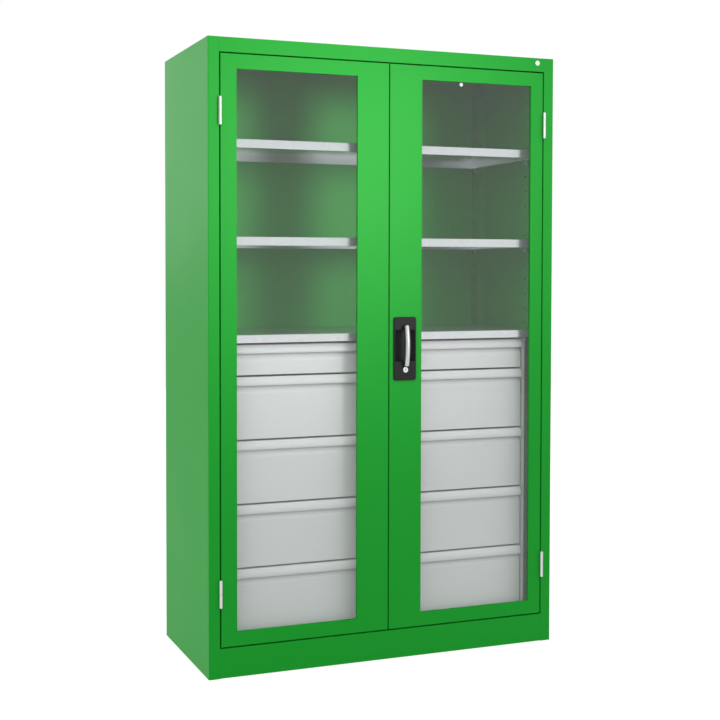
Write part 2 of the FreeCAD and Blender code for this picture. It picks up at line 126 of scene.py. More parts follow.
class CabinetSizes(PropertyGroup):
    """Lengths of the folded and moulded details, in metres."""
    sheet: size("Sheet", "Thickness of the folded steel", 0.0015)
    fold: size("Fold", "Outside radius of a folded edge", 0.0006)
    door_lip: size("Door Lip", "Return at the back of the door pan", 0.018)
    window_flange: size("Window Flange", "Depth of the fold round the window", 0.003)
    retainer_width: size("Retainer Width", "Width of the strips that hold the pane", 0.011)
    front_depth: size("Drawer Front Depth", "Depth of a drawer front behind its face", 0.018)
    lip_height: size("Drawer Lip Height", "Height of the lip along a drawer's top", 0.027)
    lip_reach: size("Drawer Lip Reach", "How far the lip stands before the face", 0.0098)
    lip_tuck: size("Drawer Lip Tuck", "How far the lip's lower edge falls back from its nose", 0.0006)
    lip_nose: size("Drawer Lip Nose", "Height of the nose above the lip's lower edge", 0.0089)
    shoulder_depth: size("Shoulder Depth", "How far the face falls back under the lip", 0.0145)
    shoulder_height: size("Shoulder Height", "Height of the curve under the lip", 0.028)
    shelf_lip: size("Shelf Lip", "Return under a shelf's front edge", 0.015)
    shelf_bend: size("Shelf Bend", "Radius of a shelf's front edge", 0.0018)
    plate_corner: size("Plate Corner", "Corner radius of the handle plate", 0.008)
    plate_depth: size("Plate Depth", "How far the handle plate stands before the door", 0.006)
    trough_rim: size("Trough Rim", "Flat rim beside the trough", 0.004)
    trough_height: size("Trough Height", "Height of the trough behind the lever", 0.100)
    trough_rise: size("Trough Rise", "Height of the trough's middle above the plate's middle", 0.010)
    trough_wall: size("Trough Wall", "Wall of the trough's back", 0.0015)
    lever_diameter: size("Lever Diameter", "Diameter of the bow", 0.016)
    lever_span: size("Lever Span", "Height of the bow along its middle", 0.131)
    lever_rise: size("Lever Rise", "How far the bow's middle stands before its ends", 0.0086)
    lever_tip: size("Lever Tip", "Rounding of the bow's ends", 0.005)
    post_radius: size("Post Radius", "Radius of the two posts behind the bow", 0.006)
    post_inset: size("Post Inset", "Height from a bow's end to its post", 0.007)
    key_width: size("Key Width", "Width of the keyhole", 0.0018)
    key_height: size("Key Height", "Height of the keyhole", 0.008)
    key_depth: size("Key Depth", "Depth of the keyhole", 0.008)
    core_radius: size("Core Radius", "Radius of the lock's core", 0.0065)
    core_edge: size("Core Edge", "Rounding of the core's edges", 0.0003)
    lock_play: size("Lock Play", "Gap round the lock's core", 0.00005)
    lock_edge: size("Lock Edge", "Rounding of the lock's edges", 0.0005)
    bore_overrun: size("Bore Overrun", "How far the bore's cutter stands out of the lock", 0.001)
    badge_rim: size("Badge Rim", "Width of the badge's raised rim", 0.0014)
    badge_recess: size("Badge Recess", "How far the badge's middle lies behind its rim", 0.0004)
    badge_edge: size("Badge Edge", "Rounding of the badge's edges", 0.00015)


class CabinetColours(PropertyGroup):
    """Colours of the finishes and of the floor."""
    green_paint: colour("Green Paint", "Powder coat of the carcass and doors", (0.005, 0.385, 0.024))
    grey_paint: colour("Grey Paint", "Powder coat of the drawers", (0.76, 0.775, 0.782))
    galvanised_sheet: colour("Galvanised Sheet", "Shelves", (0.76, 0.78, 0.80))
    zinc_steel: colour("Zinc Steel", "Runners, rods and clips", (0.72, 0.73, 0.74))
    hinge_steel: colour("Hinge Steel", "Hinge barrels and pins", (0.62, 0.61, 0.61))
    clear_pane: colour("Clear Pane", "Door panes", (0.97, 0.985, 0.98))
    black_plastic: colour("Black Plastic", "Handle plate", (0.010, 0.010, 0.011))
    satin_aluminium: colour("Satin Aluminium", "Lever", (0.52, 0.52, 0.53))
    bright_metal: colour("Bright Metal", "Lock", (0.66, 0.66, 0.67))
    black_rubber: colour("Black Rubber", "Door bumpers", (0.015, 0.015, 0.016))
    pale_badge: colour("Pale Badge", "Plain disc on the top rail", (0.78, 0.76, 0.78))
    pane_light: colour("Pane Light", "Tint of the light that falls through a pane", (0.98, 0.985, 0.98))
    floor: colour("Floor", "How much light the floor returns to the cabinet", (0.25, 0.25, 0.25))
    floor_shade: colour("Floor Shade", "Part of the floor that a shadow darkens", (0.36, 0.36, 0.36))


class CabinetStage(PropertyGroup):
    """Camera, light and floor of the studio."""
    eye: place("Eye", "Where the camera stands", (-1.6765, -3.7983, 1.2465))
    yaw: angle_in_degrees("Yaw", "Camera's turn to the right", 20.3444)
    pitch: angle_in_degrees("Pitch", "Camera's tilt", -1.8112)
    lens: scalar("Lens", "Focal length in millimetres", 61.7063)
    sensor: scalar("Sensor", "Width of the camera's sensor in millimetres", 36.0)
    shift_x: scalar("Shift X", "Sideways shift of the frame", 0.1049)
    shift_y: scalar("Shift Y", "Vertical shift of the frame", -0.07)
    key_place: place("Key Place", "Where the main lamp stands", (1.05, -3.2, 1.8))
    key_aim: place("Key Aim", "What the main lamp points at", (-0.18, -0.234, 1.66))
    key_cone: angle_in_degrees("Key Cone", "Opening of the main lamp", 34.0)
    key_power: watts("Key Power", "Main lamp", 300.0)
    key_size: size("Key Size", "Radius of the main lamp", 0.6)
    fill_place: place("Fill Place", "Where the second lamp stands", (-2.2, -3.0, 2.4))
    fill_power: watts("Fill Power", "Second lamp", 5.0)
    fill_size: size("Fill Size", "Width of the second lamp", 2.0)
    rim_place: place("Rim Place", "Where the lamp behind the left side stands", (-1.6, 2.6, 2.0))
    rim_aim: place("Rim Aim", "What the lamp behind the left side points at", (-0.6, 0.1, 1.6))
    rim_power: watts("Rim Power", "Lamp behind the left side", 8.0)
    rim_size: size("Rim Size", "Width of the lamp behind the left side", 1.4)
    ambient: scalar("Ambient", "Level of the studio's walls", 1.0)
    floor_radius: size("Floor Radius", "Radius of the floor", 9.0)
    floor_glow: scalar("Floor Glow", "Part of the floor that a shadow leaves", 0.82)


# Modelling

def deselect():
    bpy.ops.object.select_all(action="DESELECT")


def make_active(piece):
    deselect()
    piece.select_set(True)
    bpy.context.view_layer.objects.active = piece


def settled(name):
    """Names the new object and puts its place, turn and scale into its mesh."""
    piece = bpy.context.object
    piece.name = name
    piece.data.name = name
    bpy.ops.object.transform_apply(location=True, rotation=True, scale=True)
    return piece


def block(name, low, high):
    deselect()
    bpy.ops.mesh.primitive_cube_add(size=1.0, location=(low + high) / 2)
    bpy.context.object.scale = high - low
    return settled(name)


def upright_sheet(name, low, high):
    """A flat sheet that faces the front, at the front of the box."""
    deselect()
    spot = Vector(((low.x + high.x) / 2, low.y, (low.z + high.z) / 2))
    bpy.ops.mesh.primitive_plane_add(size=1.0, location=spot, rotation=(math.pi / 2, 0.0, 0.0))
    bpy.context.object.scale = (high.x - low.x, high.z - low.z, 1.0)
    return settled(name)


def level_sheet(name, low, high):
    """A flat sheet that lies at the bottom of the box."""
    deselect()
    spot = Vector(((low.x + high.x) / 2, (low.y + high.y) / 2, low.z))
    bpy.ops.mesh.primitive_plane_add(size=1.0, location=spot)
    bpy.context.object.scale = (high.x - low.x, high.y - low.y, 1.0)
    return settled(name)


def bar(name, radius, start, end, sides):
    """A round bar between two points on a line along Y or Z."""
    deselect()
    along = end - start
    turn = (math.pi / 2, 0.0, 0.0) if abs(along.y) > abs(along.z) else (0.0, 0.0, 0.0)
    bpy.ops.mesh.primitive_cylinder_add(
        vertices=sides, radius=radius, depth=along.length, location=(start + end) / 2, rotation=turn
    )
    return settled(name)


def turned(name, node, radius, sides, overrun=0.0):
    """A round bar through the middle of a node's box, from its front to its back."""
    low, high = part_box(node)
    mid = (low + high) / 2
    start = Vector((mid.x, low.y - overrun, mid.z))
    end = Vector((mid.x, high.y + overrun, mid.z))
    return bar(name, radius, start, end, sides)


@contextlib.contextmanager
def editing(piece):
    make_active(piece)
    bpy.ops.object.mode_set(mode="EDIT")
    yield
    bpy.ops.object.mode_set(mode="OBJECT")


def middle(element):
    return sum((vertex.co for vertex in element.verts), Vector()) / len(element.verts)


def pick(piece, kind, wanted):
    """Selects just the vertices, edges or faces that the test wants."""
    bpy.ops.mesh.select_mode(type=kind)
    bpy.ops.mesh.select_all(action="DESELECT")
    mesh = bmesh.from_edit_mesh(piece.data)
    items = {"VERT": mesh.verts, "EDGE": mesh.edges, "FACE": mesh.faces}[kind]
    found = [item for item in items if wanted(item)]
    if not found:
        raise RuntimeError(f"{piece.name} has nothing to pick")
    for item in found:
        item.select_set(True)
    bmesh.update_edit_mesh(piece.data)


def near(first, second):
    return abs(first - second) < TOUCH


def between(point, low, high):
    """Whether a point lies in the upright rectangle of a box."""
    return low.x - TOUCH < point.x < high.x + TOUCH and low.z - TOUCH < point.z < high.z + TOUCH


def lies_at(face, y):
    """Whether a face lies across Y at the given place."""
    return near(middle(face).y, y) and abs(face.normal.y) > FACING


def on_rim(point, low, high):
    """Whether a point lies on the outline of the upright rectangle of a box."""
    sides = near(point.x, low.x) or near(point.x, high.x) or near(point.z, low.z) or near(point.z, high.z)
    return sides and between(point, low, high)


def extrude(move):
    bpy.ops.mesh.extrude_region_move(TRANSFORM_OT_translate={"value": move})


def cut(point, normal):
    """Cuts what is selected along a plane."""
    bpy.ops.mesh.bisect(plane_co=point, plane_no=normal)


def cut_across(x, z):
    """Cuts the whole piece at the given places along X and Z."""
    for places, axis in ((x, X_AXIS), (z, Z_AXIS)):
        for spot in places:
            bpy.ops.mesh.select_all(action="SELECT")
            cut(spot * axis, axis)


def close_up():
    """Joins the seams and turns the faces of a closed piece outwards."""
    bpy.ops.mesh.select_all(action="SELECT")
    bpy.ops.mesh.remove_doubles(threshold=TOUCH)
    bpy.ops.mesh.normals_make_consistent(inside=False)


def face_outwards(shell, low):
    """Turns the faces of an open pan so that its front looks forward."""
    bpy.ops.mesh.normals_make_consistent(inside=False)
    mesh = bmesh.from_edit_mesh(shell.data)
    front = next(face for face in mesh.faces if near(middle(face).y, low.y))
    if front.normal.y > 0:
        bpy.ops.mesh.flip_normals()


def bow(centre, angle, steps):
    """Spins the selected edge about a line along X."""
    bpy.ops.mesh.spin(steps=steps, angle=-angle, center=centre, axis=(1.0, 0.0, 0.0))


def centre_of(first, second, third):
    """Centre of the circle through three points in the plane across X."""
    a, b = second - first, third - first
    base = 2 * (a.y * b.z - a.z * b.y)
    y = (b.z * (a.y ** 2 + a.z ** 2) - a.z * (b.y ** 2 + b.z ** 2)) / base
    z = (a.y * (b.y ** 2 + b.z ** 2) - b.y * (a.y ** 2 + a.z ** 2)) / base
    return first + Vector((0.0, y, z))


def turn_between(start, end):
    """Angle about X from one arm to another, the short way round."""
    angle = math.atan2(end.z, end.y) - math.atan2(start.z, start.y)
    return (angle + math.pi) % (2 * math.pi) - math.pi


def apply_modifiers(piece):
    make_active(piece)
    for modifier in list(piece.modifiers):
        bpy.ops.object.modifier_apply(modifier=modifier.name)


def softened(piece, width):
    """Rounds the sharp edges, drops the faces that this leaves with no area, and shades the piece."""
    edges = piece.modifiers.new("Edges", "BEVEL")
    edges.width = width
    edges.segments = EDGE_STEPS
    edges.limit_method = "ANGLE"
    edges.angle_limit = SHARP_ANGLE
    apply_modifiers(piece)
    with editing(piece):
        bpy.ops.mesh.select_all(action="SELECT")
        bpy.ops.mesh.dissolve_degenerate(threshold=TOUCH)
    return shaded(piece)


def shaded(piece):
    """Shades round faces smoothly and keeps flat ones flat."""
    make_active(piece)
    bpy.ops.object.shade_smooth_by_angle(angle=SHARP_ANGLE)
    piece.modifiers.new("Shading", "WEIGHTED_NORMAL").keep_sharp = True
    apply_modifiers(piece)
    return piece


def combined(piece, other, way):
    """Joins another piece to this one or takes it out of it."""
    step = piece.modifiers.new("Combine", "BOOLEAN")
    step.operation = way
    step.solver = "EXACT"
    step.object = other
    apply_modifiers(piece)
    bpy.data.objects.remove(other)


def copied(piece, name, move):
    make_active(piece)
    bpy.ops.object.duplicate(linked=False)
    bpy.ops.transform.translate(value=move)
    return settled(name)


def merged_copy(node, name):
    """A copy of a CAD node with its loose triangles joined to whole faces."""
    make_active(frame["nodes"][node])
    bpy.ops.object.duplicate(linked=False)
    piece = bpy.context.object
    piece.parent = None
    for key in list(piece.keys()):
        del piece[key]
    piece = settled(name)
    with editing(piece):
        bpy.ops.mesh.select_all(action="SELECT")
        bpy.ops.mesh.remove_doubles(threshold=TOUCH)
        bpy.ops.mesh.customdata_custom_splitnormals_clear()
        bpy.ops.mesh.dissolve_limited(angle_limit=FLAT_ANGLE)
    return piece


def row_of(node):
    return next(row for row in frame["record"]["subparts"] if row["node"] == node)


def body_of(node):
    bodies = frame["record"]["behaviour"]["bodies"]
    return next(body for body, nodes in bodies.items() if node in nodes)


def stands_for(piece, node):
    """Puts a finished piece in the place of a CAD node, on its body and with its finish."""
    slot = row_of(node)["material_slot"]
    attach(piece, body_of(node))
    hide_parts(node)
    give_finish(piece, slot)


# Finishes

def link(tree, start, end):
    tree.links.new(start, end)


def new_group(name, inputs, outputs):
    """A shader group with its sockets; returns it with its input and output nodes."""
    group = bpy.data.node_groups.new(name, "ShaderNodeTree")
    for way, sockets in (("INPUT", inputs), ("OUTPUT", outputs)):
        for socket, kind in sockets:
            group.interface.new_socket(socket, in_out=way, socket_type=kind)
    return group, group.nodes.new("NodeGroupInput"), group.nodes.new("NodeGroupOutput")


def noise(tree, scale, detail):
    """Noise on the object's own coordinates; scale is a number or a socket."""
    spot = tree.nodes.new("ShaderNodeTexCoord")
    texture = tree.nodes.new("ShaderNodeTexNoise")
    texture.inputs["Detail"].default_value = detail
    link(tree, spot.outputs["Object"], texture.inputs["Vector"])
    if isinstance(scale, float):
        texture.inputs["Scale"].default_value = scale
    else:
        link(tree, scale, texture.inputs["Scale"])
    return texture.outputs["Fac"]


def swing(tree, source, amount, base):
    """base + (source - 0.5) * amount, where amount and base are numbers or sockets."""
    shifted = tree.nodes.new("ShaderNodeMath")
    shifted.operation = "SUBTRACT"
    shifted.inputs[1].default_value = 0.5
    link(tree, source, shifted.inputs[0])
    scaled = tree.nodes.new("ShaderNodeMath")
    scaled.operation = "MULTIPLY_ADD"
    link(tree, shifted.outputs[0], scaled.inputs[0])
    for value, socket in ((amount, scaled.inputs[1]), (base, scaled.inputs[2])):
        if isinstance(value, float):
            socket.default_value = value
        else:
            link(tree, value, socket)
    return scaled.outputs[0]


def toned(tree, colour_socket, value):
    tone = tree.nodes.new("ShaderNodeHueSaturation")
    link(tree, colour_socket, tone.inputs["Color"])
    link(tree, value, tone.inputs["Value"])
    return tone.outputs["Color"]


def surface_group(name, grain_texture):
    """Shared build of the three surface groups: tone drift, roughness drift and a fine relief."""
    group, given, result = new_group(
        name,
        (
            ("Colour", "NodeSocketColor"),
            ("Grain Size", "NodeSocketFloat"),
            ("Mottle", "NodeSocketFloat"),
            ("Roughness", "NodeSocketFloat"),
            ("Roughness Drift", "NodeSocketFloat"),
        ),
        (("Colour", "NodeSocketColor"), ("Roughness", "NodeSocketFloat"), ("Height", "NodeSocketFloat")),
    )
    grain = grain_texture(group, given.outputs["Grain Size"])
    drift = noise(group, DRIFT_SCALE, DRIFT_DETAIL)
    tone = swing(group, drift, given.outputs["Mottle"], 1.0)
    fine_tone = swing(group, grain, given.outputs["Mottle"], tone)
    link(group, toned(group, given.outputs["Colour"], fine_tone), result.inputs["Colour"])
    rough = swing(group, drift, given.outputs["Roughness Drift"], given.outputs["Roughness"])
    link(group, rough, result.inputs["Roughness"])
    link(group, grain, result.inputs["Height"])
    return group


def peel_grain(tree, scale):
    """The orange-peel relief of a powder coat."""
    return noise(tree, scale, PEEL_DETAIL)


def cells(tree, scale, feature):
    """Cells on the object's own coordinates."""
    spot = tree.nodes.new("ShaderNodeTexCoord")
    texture = tree.nodes.new("ShaderNodeTexVoronoi")
    texture.feature = feature
    link(tree, spot.outputs["Object"], texture.inputs["Vector"])
    link(tree, scale, texture.inputs["Scale"])
    return texture


def spangle_grain(tree, scale):
    """The crystals of a zinc coat."""
    grey = tree.nodes.new("ShaderNodeSeparateColor")
    link(tree, cells(tree, scale, "F1").outputs["Color"], grey.inputs["Color"])
    return grey.outputs["Red"]


def mould_grain(tree, scale):
    """The pebbled skin of moulded plastic."""
    return cells(tree, scale, "SMOOTH_F1").outputs["Distance"]


GROUPS = {"Powder Coat": peel_grain, "Zinc Coat": spangle_grain, "Moulded Skin": mould_grain}

# slot: group, grain size, mottle, roughness, roughness drift, relief, metallic, specular level
FINISHES = {
    "green_paint": ("Powder Coat", 700.0, 0.03, 0.50, 0.06, 0.05, 0.0, 0.22),
    "grey_paint": ("Powder Coat", 700.0, 0.02, 0.42, 0.06, 0.05, 0.0, 0.4),
    "galvanised_sheet": ("Zinc Coat", 110.0, 0.05, 0.25, 0.10, 0.02, 0.8, 0.5),
    "zinc_steel": ("Zinc Coat", 260.0, 0.08, 0.36, 0.10, 0.03, 1.0, 0.5),
    "hinge_steel": ("Zinc Coat", 900.0, 0.04, 0.38, 0.06, 0.02, 1.0, 0.5),
    "black_plastic": ("Moulded Skin", 900.0, 0.10, 0.46, 0.08, 0.25, 0.0, 0.2),
    "satin_aluminium": ("Powder Coat", 1500.0, 0.03, 0.38, 0.06, 0.03, 1.0, 0.5),
    "bright_metal": ("Powder Coat", 1500.0, 0.03, 0.22, 0.06, 0.02, 1.0, 0.5),
    "black_rubber": ("Moulded Skin", 1200.0, 0.10, 0.75, 0.08, 0.20, 0.0, 0.4),
    "pale_badge": ("Powder Coat", 1500.0, 0.03, 0.35, 0.06, 0.02, 0.6, 0.5),
}


def group_named(name):
    found = bpy.data.node_groups.get(name)
    return found or surface_group(name, GROUPS[name])


def new_material(name):
    material = bpy.data.materials.new(name)
    material.use_nodes = True
    tree = material.node_tree
    return material, tree, tree.nodes["Principled BSDF"]


def opaque_finish(slot):
    name, grain, mottle, rough, drift, relief, metallic, specular = FINISHES[slot]
    material, tree, shader = new_material(slot)
    surface = tree.nodes.new("ShaderNodeGroup")
    surface.node_tree = group_named(name)
    surface.inputs["Colour"].default_value = (*getattr(bpy.context.scene.cabinet_colours, slot), 1.0)
    given = {"Grain Size": grain, "Mottle": mottle, "Roughness": rough, "Roughness Drift": drift}
    for socket, value in given.items():
        surface.inputs[socket].default_value = value
    bump = tree.nodes.new("ShaderNodeBump")
    bump.inputs["Strength"].default_value = relief
    bump.inputs["Distance"].default_value = RELIEF_DEPTH
    link(tree, surface.outputs["Height"], bump.inputs["Height"])
    link(tree, surface.outputs["Colour"], shader.inputs["Base Color"])
    link(tree, surface.outputs["Roughness"], shader.inputs["Roughness"])
    link(tree, bump.outputs["Normal"], shader.inputs["Normal"])
    shader.inputs["Metallic"].default_value = metallic
    shader.inputs["Specular IOR Level"].default_value = specular
    return material


def pane_finish(slot):
    """Clear sheet that lets lamp and wall light through without a caustic."""
    colours = bpy.context.scene.cabinet_colours
    material, tree, shader = new_material(slot)
    shader.inputs["Base Color"].default_value = (*colours.clear_pane, 1.0)
    shader.inputs["Roughness"].default_value = 0.0
    shader.inputs["IOR"].default_value = PANE_INDEX
    shader.inputs["Transmission Weight"].default_value = 1.0
    clear = tree.nodes.new("ShaderNodeBsdfTransparent")
    clear.inputs["Color"].default_value = (*colours.pane_light, 1.0)
    path = tree.nodes.new("ShaderNodeLightPath")
    soft = tree.nodes.new("ShaderNodeMath")
    soft.operation = "MAXIMUM"
    link(tree, path.outputs["Is Shadow Ray"], soft.inputs[0])
    link(tree, path.outputs["Is Diffuse Ray"], soft.inputs[1])
    mix = tree.nodes.new("ShaderNodeMixShader")
    link(tree, soft.outputs[0], mix.inputs[0])
    link(tree, shader.outputs[0], mix.inputs[1])
    link(tree, clear.outputs[0], mix.inputs[2])
    link(tree, mix.outputs[0], tree.nodes["Material Output"].inputs["Surface"])
    return material


def finish(slot):
    """The finish of a slot, made once; a packed material of that name is renamed."""
    found = bpy.data.materials.get(slot)
    if found and found.get("cabinet_finish"):
        return found
    if found:
        found.name = slot + ".packed"
    made = pane_finish(slot) if slot == "clear_pane" else opaque_finish(slot)
    made["cabinet_finish"] = True
    return made


def give_finish(piece, slot):
    piece.data.materials.clear()
    piece.data.materials.append(finish(slot))


# Pieces

class CABINET_OT_finishes(Operator):
    """Give every CAD node the finish of its slot"""
    bl_idname = "cabinet.finishes"
    bl_label = "Finishes"

    def execute(self, context):
        for row in frame["record"]["subparts"]:
            give_finish(frame["nodes"][row["node"]], row["material_slot"])
        return {"FINISHED"}


def round_copies(width, *pairs):
    """Puts copies with rounded edges in the place of CAD nodes."""
    for name, node in pairs:
        stands_for(softened(merged_copy(node, name), width), node)


class CABINET_OT_carcass(Operator):
    """Round the folded edges of the sides, the roof and the plinth"""
    bl_idname = "cabinet.carcass"
    bl_label = "Carcass"

    def execute(self, context):
        round_copies(
            context.scene.cabinet_sizes.fold,
            ("left_side_shell", "left_side_panel"),
            ("right_side_shell", "right_side_panel"),
            ("roof_shell", "top_panel"),
            ("plinth_shell", "plinth"),
        )
        return {"FINISHED"}


def trough_opening(sizes):
    """Where the trough of the handle plate passes through the door."""
    low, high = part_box("handle_plate")
    mid_x = (low.x + high.x) / 2
    mid_z = (low.z + high.z) / 2 + sizes.trough_rise
    half_x = (high.x - low.x) / 2 - sizes.trough_rim
    half_z = sizes.trough_height / 2 + sizes.trough_wall
    return Vector((mid_x - half_x, low.y, mid_z - half_z)), Vector((mid_x + half_x, high.y, mid_z + half_z))


class CABINET_OT_doors(Operator):
    """Fold the two glazed doors from sheet"""
    bl_idname = "cabinet.doors"
    bl_label = "Doors"

    def execute(self, context):
        for side in SIDES:
            self.fold(side, context.scene.cabinet_sizes)
        return {"FINISHED"}

    def fold(self, side, sizes):
        low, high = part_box(side + "_door_panel")
        strips_low, strips_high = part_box(side + "_door_pane_retainers")
        rim = Vector((sizes.retainer_width, 0.0, sizes.retainer_width))
        window = (strips_low + rim, strips_high - rim)
        openings = [window]
        if side == "right":
            openings.append(trough_opening(sizes))
        shell = upright_sheet(side + "_door_shell", low, high)
        with editing(shell):
            for hole_low, hole_high in openings:
                cut_across(x=(hole_low.x, hole_high.x), z=(hole_low.z, hole_high.z))
                pick(shell, "FACE", lambda face: between(middle(face), hole_low, hole_high))
                bpy.ops.mesh.delete(type="FACE")
            pick(shell, "EDGE", lambda edge: edge.is_boundary and on_rim(middle(edge), low, high))
            extrude((0.0, high.y - low.y, 0.0))
            extrude((0.0, 0.0, 0.0))
            centre = (low + high) / 2
            wide, tall = high.x - low.x, high.z - low.z
            bpy.ops.transform.resize(
                value=((wide - 2 * sizes.door_lip) / wide, 1.0, (tall - 2 * sizes.door_lip) / tall),
                center_override=(centre.x, high.y, centre.z),
            )
            pick(
                shell, "EDGE",
                lambda edge: edge.is_boundary and near(middle(edge).y, low.y)
                and on_rim(middle(edge), *window),
            )
            extrude((0.0, sizes.window_flange, 0.0))
            bpy.ops.mesh.select_all(action="SELECT")
            bpy.ops.mesh.remove_doubles(threshold=TOUCH)
            face_outwards(shell, low)
        wall = shell.modifiers.new("Sheet", "SOLIDIFY")
        wall.thickness = sizes.sheet
        wall.offset = -1.0
        wall.use_even_offset = True
        apply_modifiers(shell)
        softened(shell, sizes.fold)
        stands_for(shell, side + "_door_panel")


class CABINET_OT_drawers(Operator):
    """Fold the five drawer fronts and their trays"""
    bl_idname = "cabinet.drawers"
    bl_label = "Drawers"

    def execute(self, context):
        sizes = context.scene.cabinet_sizes
        fronts = {1: self.front(1, sizes), 2: self.front(2, sizes)}
        trays = {1: self.tray(1, sizes), 2: self.tray(2, sizes)}
        for number in DRAWERS[2:]:
            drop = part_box(f"drawer_{number}_front")[0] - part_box("drawer_2_front")[0]
            fronts[number] = copied(fronts[2], f"drawer_front_{number}", drop)
            trays[number] = copied(trays[2], f"drawer_tray_{number}", drop)
        for number in DRAWERS:
            stands_for(fronts[number], f"drawer_{number}_front")
            stands_for(trays[number], f"drawer_{number}_box")
        return {"FINISHED"}

    def front(self, number, sizes):
        low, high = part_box(f"drawer_{number}_front")
        face_y = high.y - sizes.front_depth
        nose_y = face_y - sizes.lip_reach
        root_y = face_y + sizes.shoulder_depth
        lip_z = high.z - sizes.lip_height
        shoulder_z = lip_z - sizes.shoulder_height
        bend = (sizes.shoulder_depth ** 2 + sizes.shoulder_height ** 2) / (2 * sizes.shoulder_depth)
        lip_end = Vector((0.0, nose_y + sizes.lip_tuck, lip_z))
        nose = Vector((0.0, nose_y, lip_z + sizes.lip_nose))
        rim = Vector((0.0, face_y, high.z))
        piece = level_sheet(f"drawer_front_{number}", Vector((low.x, face_y, low.z)), high)
        with editing(piece):
            pick(piece, "EDGE", lambda edge: near(middle(edge).y, face_y))
            extrude((0.0, 0.0, shoulder_z - low.z))
            hub = Vector((0.0, face_y + bend, shoulder_z))
            bow(hub, -math.asin(sizes.shoulder_height / bend), SHOULDER_STEPS)
            extrude((0.0, lip_end.y - root_y, 0.0))
            centre = centre_of(lip_end, nose, rim)
            bow(centre, turn_between(lip_end - centre, rim - centre), LIP_STEPS)
            extrude((0.0, high.y - face_y, 0.0))
            extrude((0.0, 0.0, low.z - high.z))
            bpy.ops.mesh.select_all(action="SELECT")
            bpy.ops.mesh.remove_doubles(threshold=TOUCH)
            for x in (low.x, high.x):
                pick(piece, "EDGE", lambda edge: all(near(vertex.co.x, x) for vertex in edge.verts))
                bpy.ops.mesh.edge_face_add()
            close_up()
            self.hollow_back(piece, high.y, (shoulder_z, lip_z), sizes.sheet, high.y - face_y)
        return softened(piece, sizes.fold)

    def hollow_back(self, piece, back_y, lines, sheet, depth):
        """Leaves the folded front open at its back, above and below the shoulder."""
        for spot in lines:
            pick(piece, "FACE", lambda face: near(middle(face).y, back_y))
            cut(spot * Z_AXIS, Z_AXIS)
        pick(
            piece, "FACE",
            lambda face: near(middle(face).y, back_y) and not lines[0] < middle(face).z < lines[1],
        )
        bpy.ops.mesh.inset(thickness=sheet, use_individual=True)
        extrude((0.0, sheet - depth, 0.0))

    def tray(self, number, sizes):
        low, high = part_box(f"drawer_{number}_box")
        piece = block(f"drawer_tray_{number}", low, high)
        with editing(piece):
            pick(piece, "FACE", lambda face: near(middle(face).z, high.z))
            bpy.ops.mesh.inset(thickness=sizes.sheet)
            extrude((0.0, 0.0, low.z + sizes.sheet - high.z))
        return softened(piece, sizes.fold)


class CABINET_OT_shelves(Operator):
    """Fold the two shelves and the cover shelf over the drawers"""
    bl_idname = "cabinet.shelves"
    bl_label = "Shelves"

    def execute(self, context):
        sizes = context.scene.cabinet_sizes
        upper = self.shelf("upper_shelf", "shelf_upper", sizes)
        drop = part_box("shelf_middle")[0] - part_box("shelf_upper")[0]
        stands_for(copied(upper, "middle_shelf", drop), "shelf_middle")
        stands_for(upper, "shelf_upper")
        stands_for(self.shelf("cover_shelf", "drawer_cover_shelf", sizes), "drawer_cover_shelf")
        return {"FINISHED"}

    def shelf(self, name, node, sizes):
        low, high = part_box(node)
        piece = block(name, low, high)
        sheet = sizes.sheet
        lip_y = low.y + sizes.shelf_lip
        with editing(piece):
            pick(piece, "EDGE", lambda edge: near(middle(edge).y, low.y) and near(middle(edge).z, high.z))
            bpy.ops.mesh.bevel(offset=sizes.shelf_bend, segments=SHELF_BEND_STEPS, affect="EDGES")
            pick(piece, "FACE", lambda face: near(middle(face).z, low.z))
            cut((lip_y - sheet) * Y_AXIS, Y_AXIS)
            pick(piece, "FACE", lambda face: near(middle(face).z, low.z) and middle(face).y > lip_y)
            bpy.ops.mesh.inset(thickness=sheet)
            extrude((0.0, 0.0, high.z - low.z - sheet))
            pick(piece, "FACE", lambda face: lies_at(face, lip_y))
            cut((low.z + sheet) * Z_AXIS, Z_AXIS)
            pick(piece, "FACE", lambda face: lies_at(face, lip_y) and middle(face).z > low.z + sheet)
            extrude((0.0, sheet - sizes.shelf_lip, 0.0))
        return softened(piece, sizes.fold)


class CABINET_OT_hinges(Operator):
    """Round the ends of the hinge barrels and the edges of their leaves"""
    bl_idname = "cabinet.hinges"
    bl_label = "Hinges"

    def execute(self, context):
        round_copies(
            context.scene.cabinet_sizes.fold,
            ("frame_hinges", "frame_hinge_knuckles"),
            ("left_door_hinges", "left_door_hinge_knuckles"),
            ("right_door_hinges", "right_door_hinge_knuckles"),
        )
        return {"FINISHED"}


